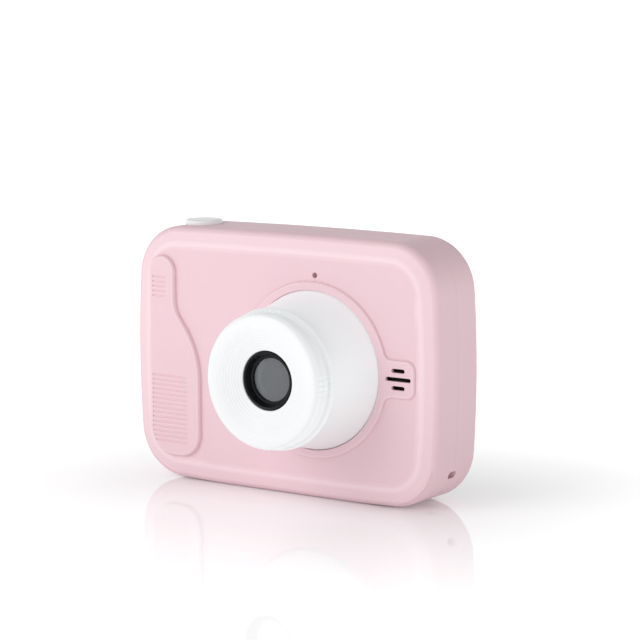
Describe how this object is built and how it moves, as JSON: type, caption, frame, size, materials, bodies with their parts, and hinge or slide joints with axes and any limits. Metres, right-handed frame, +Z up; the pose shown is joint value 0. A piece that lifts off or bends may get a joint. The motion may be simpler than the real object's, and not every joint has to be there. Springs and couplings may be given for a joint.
{
  "type": "kids digital camera",
  "caption": "Child's compact digital camera: rounded pink case, white protruding lens barrel, grip pad, speaker slots, shutter button, rear screen and key pad.",
  "frame": {"origin": "middle of the whole camera's footprint, at the height of the base it stands on", "axes": "+Z up, the lens looks along -Y, +X to the right seen from the front"},
  "size_m": [0.0966, 0.0444, 0.0696],
  "materials": {
    "pink_shell": "fine satin moulded plastic, pale pink",
    "white_plastic": "smooth satin moulded plastic, white",
    "black_plastic": "black moulded plastic",
    "lens_glass": "clear pressed window, smoky over the camera lens",
    "screen_glass": "clear acrylic window printed black round its edge",
    "display": "dark colour panel",
    "board": "green circuit board",
    "chip": "black moulded chip and connectors",
    "metal": "stamped and plated steel",
    "cable": "amber flat cable",
    "battery": "soft metal foil pouch",
    "foam": "black foam",
    "cover_rubber": "soft pink rubber",
    "clear": "clear light pin"
  },
  "bodies": {
    "case": {"front_shell": "pink_shell", "rear_shell": "pink_shell", "lens_barrel": "white_plastic", "lens_ring": "white_plastic", "lens_bezel": "black_plastic", "lens_glass": "lens_glass", "camera_lens": "black_plastic", "camera_holder": "black_plastic", "camera_board": "board", "module_bracket": "black_plastic", "camera_cable": "cable", "camera_connector": "chip", "shutter_switch": "chip", "key_switches": "metal", "screen_window": "screen_glass", "display_panel": "display", "display_cable": "cable", "display_connector": "chip", "selfie_window": "screen_glass", "selfie_camera": "black_plastic", "status_light": "clear", "status_led": "clear", "usb_socket": "metal", "card_socket": "metal", "main_board": "board", "processor": "chip", "battery": "battery", "battery_pad": "foam", "battery_leads": "cable", "speaker": "black_plastic", "speaker_gasket": "foam", "speaker_leads": "cable", "microphone": "metal", "case_screws": "metal", "board_screws": "metal", "barrel_screws": "metal"},
    "up_key": {"up_key": "white_plastic"},
    "down_key": {"down_key": "white_plastic"},
    "left_key": {"left_key": "white_plastic"},
    "right_key": {"right_key": "white_plastic"},
    "ok_key": {"ok_key": "white_plastic"},
    "mode_key": {"mode_key": "white_plastic"},
    "album_key": {"album_key": "white_plastic"},
    "power_key": {"power_key": "white_plastic"},
    "shutter_button": {"shutter_button": "white_plastic"},
    "port_cover": {"port_cover": "cover_rubber"}
  },
  "joints": [
    {"name": "shutter_press", "type": "slide", "parent": "case", "child": "shutter_button", "axis": [0, 0, -1], "range_m": [0, 0.0008], "stiffness_N_per_m": 700, "springref_m": -0.0004},
    {"name": "up_press", "type": "slide", "parent": "case", "child": "up_key", "axis": [0, -1, 0], "range_m": [0, 0.0005], "stiffness_N_per_m": 900, "springref_m": -0.0003},
    {"name": "down_press", "type": "slide", "parent": "case", "child": "down_key", "axis": [0, -1, 0], "range_m": [0, 0.0005], "stiffness_N_per_m": 900, "springref_m": -0.0003},
    {"name": "left_press", "type": "slide", "parent": "case", "child": "left_key", "axis": [0, -1, 0], "range_m": [0, 0.0005], "stiffness_N_per_m": 900, "springref_m": -0.0003},
    {"name": "right_press", "type": "slide", "parent": "case", "child": "right_key", "axis": [0, -1, 0], "range_m": [0, 0.0005], "stiffness_N_per_m": 900, "springref_m": -0.0003},
    {"name": "ok_press", "type": "slide", "parent": "case", "child": "ok_key", "axis": [0, -1, 0], "range_m": [0, 0.0005], "stiffness_N_per_m": 900, "springref_m": -0.0003},
    {"name": "mode_press", "type": "slide", "parent": "case", "child": "mode_key", "axis": [0, -1, 0], "range_m": [0, 0.0005], "stiffness_N_per_m": 900, "springref_m": -0.0003},
    {"name": "album_press", "type": "slide", "parent": "case", "child": "album_key", "axis": [0, -1, 0], "range_m": [0, 0.0005], "stiffness_N_per_m": 900, "springref_m": -0.0003},
    {"name": "power_press", "type": "slide", "parent": "case", "child": "power_key", "axis": [0, -1, 0], "range_m": [0, 0.0005], "stiffness_N_per_m": 900, "springref_m": -0.0003},
    {"name": "port_cover_hinge", "type": "hinge", "parent": "case", "child": "port_cover", "pos_m": [-0.04705, 0.01498, 0.0178], "axis": [0, -1, 0], "range_deg": [0, 90]}
  ]
}
